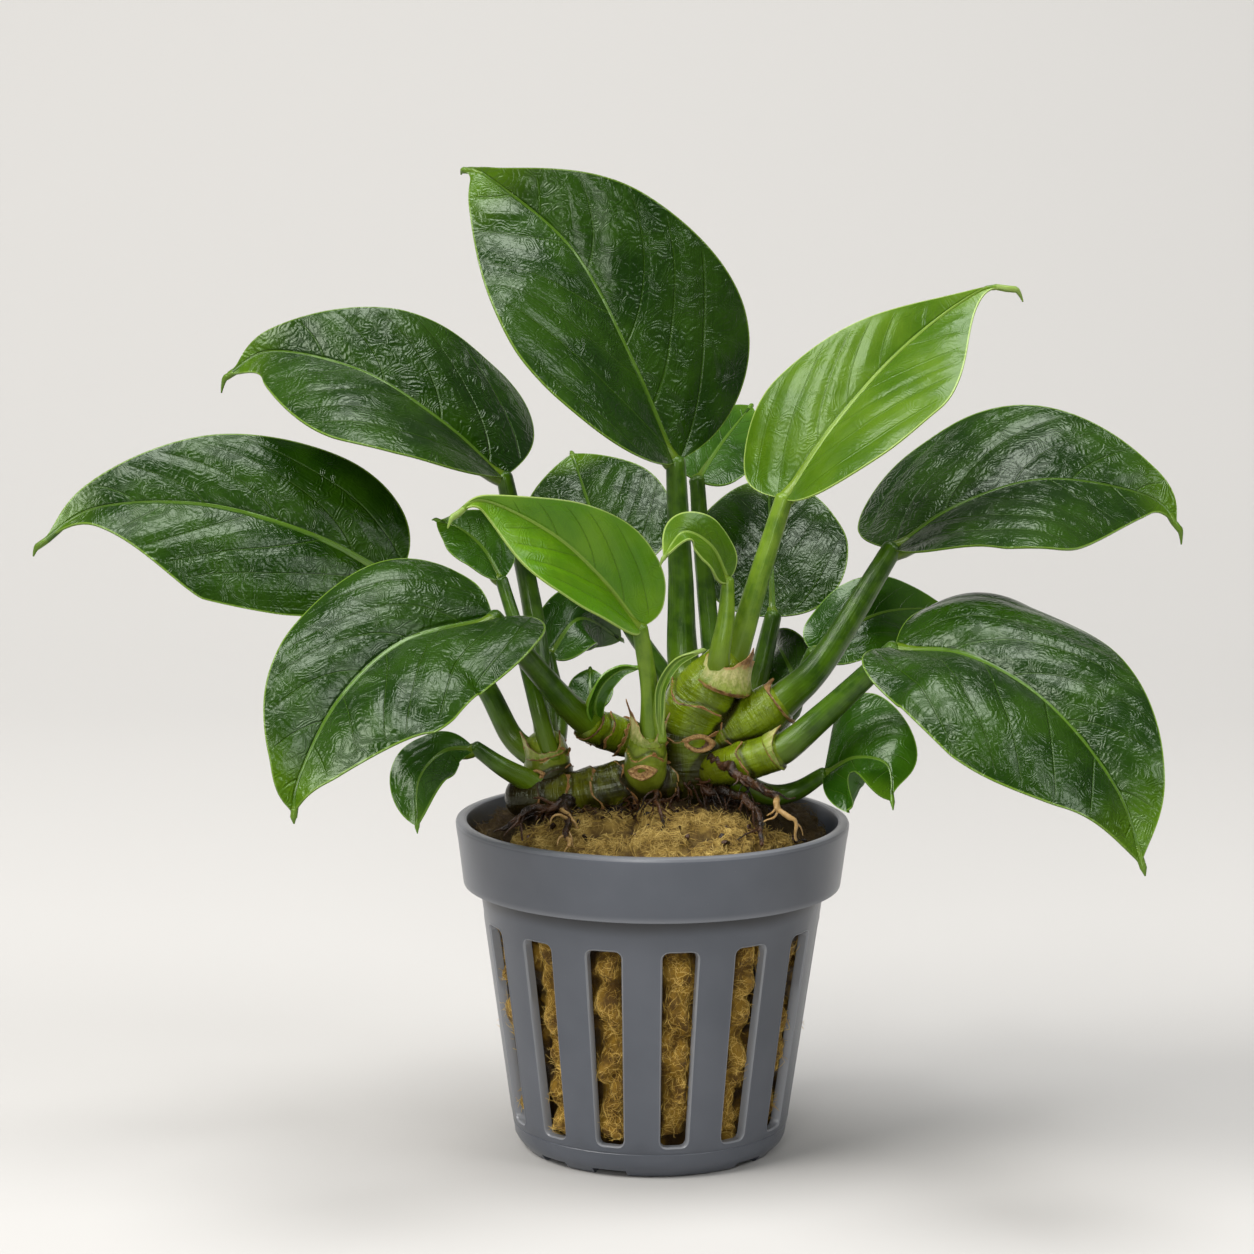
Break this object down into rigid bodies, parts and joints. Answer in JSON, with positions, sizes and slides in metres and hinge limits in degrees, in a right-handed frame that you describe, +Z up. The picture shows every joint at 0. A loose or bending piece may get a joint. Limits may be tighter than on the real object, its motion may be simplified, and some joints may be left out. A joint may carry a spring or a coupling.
{
  "type": "potted anubias nana",
  "caption": "Broad-leaved aquarium plant with leathery leaves on a creeping rhizome, rooted in rock wool in a round slotted net pot.",
  "frame": {"origin": "centre of the pot's flat underside, on its axis, at the surface that it stands on", "axes": "+Z up along the pot's axis; -Y towards the side that the picture shows; +X to the right in that view, along the plant's widest spread"},
  "size_m": [0.1446, 0.0722, 0.1245],
  "materials": {
    "mature_leaf": "glossy leathery dark green",
    "small_leaf": "glossy mid green",
    "young_leaf": "soft satin bright green",
    "stalk": "satin green",
    "rhizome": "ringed, green to dark brown, damp",
    "sheath": "dry papery tan",
    "root": "wet dark brown",
    "rock_wool": "matted yellow-brown fibre",
    "pot": "satin grey moulded plastic"
  },
  "bodies": {
    "root": {"net_pot": "pot", "rock_wool": "rock_wool", "rhizome_main": "rhizome", "rhizome_centre": "rhizome", "rhizome_right": "rhizome", "rhizome_lower_right": "rhizome", "rhizome_left": "rhizome", "rhizome_crown": "rhizome", "rhizome_front": "rhizome", "rhizome_back": "rhizome", "leaf_top": "mature_leaf", "leaf_upper_left": "mature_leaf", "leaf_left": "mature_leaf", "leaf_front_left": "mature_leaf", "leaf_low_left": "small_leaf", "leaf_young_front": "young_leaf", "leaf_young_right": "young_leaf", "leaf_right": "mature_leaf", "leaf_front_right": "mature_leaf", "leaf_low_right": "mature_leaf", "leaf_small_left": "small_leaf", "leaf_young_centre": "young_leaf", "leaf_back_left": "mature_leaf", "leaf_back_right": "mature_leaf", "leaf_back_top": "small_leaf", "leaf_back_far_right": "small_leaf", "leaf_back_low": "mature_leaf", "leaf_inner_left": "small_leaf", "leaf_inner_round": "small_leaf", "stalk_top": "stalk", "stalk_upper_left": "stalk", "stalk_left": "stalk", "stalk_front_left": "stalk", "stalk_low_left": "stalk", "stalk_young_front": "stalk", "stalk_young_right": "stalk", "stalk_right": "stalk", "stalk_front_right": "stalk", "stalk_low_right": "stalk", "stalk_small_left": "stalk", "stalk_young_centre": "stalk", "stalk_back_left": "stalk", "stalk_back_right": "stalk", "stalk_back_top": "stalk", "stalk_back_far_right": "stalk", "stalk_back_low": "stalk", "stalk_inner_left": "stalk", "stalk_inner_round": "stalk", "new_leaf_left": "young_leaf", "new_leaf_front": "young_leaf", "sheath_centre": "sheath", "sheath_front": "sheath", "root_left": "root", "root_front": "root", "root_right": "root", "root_wet": "root", "root_thin": "root"}
  },
  "joints": []
}
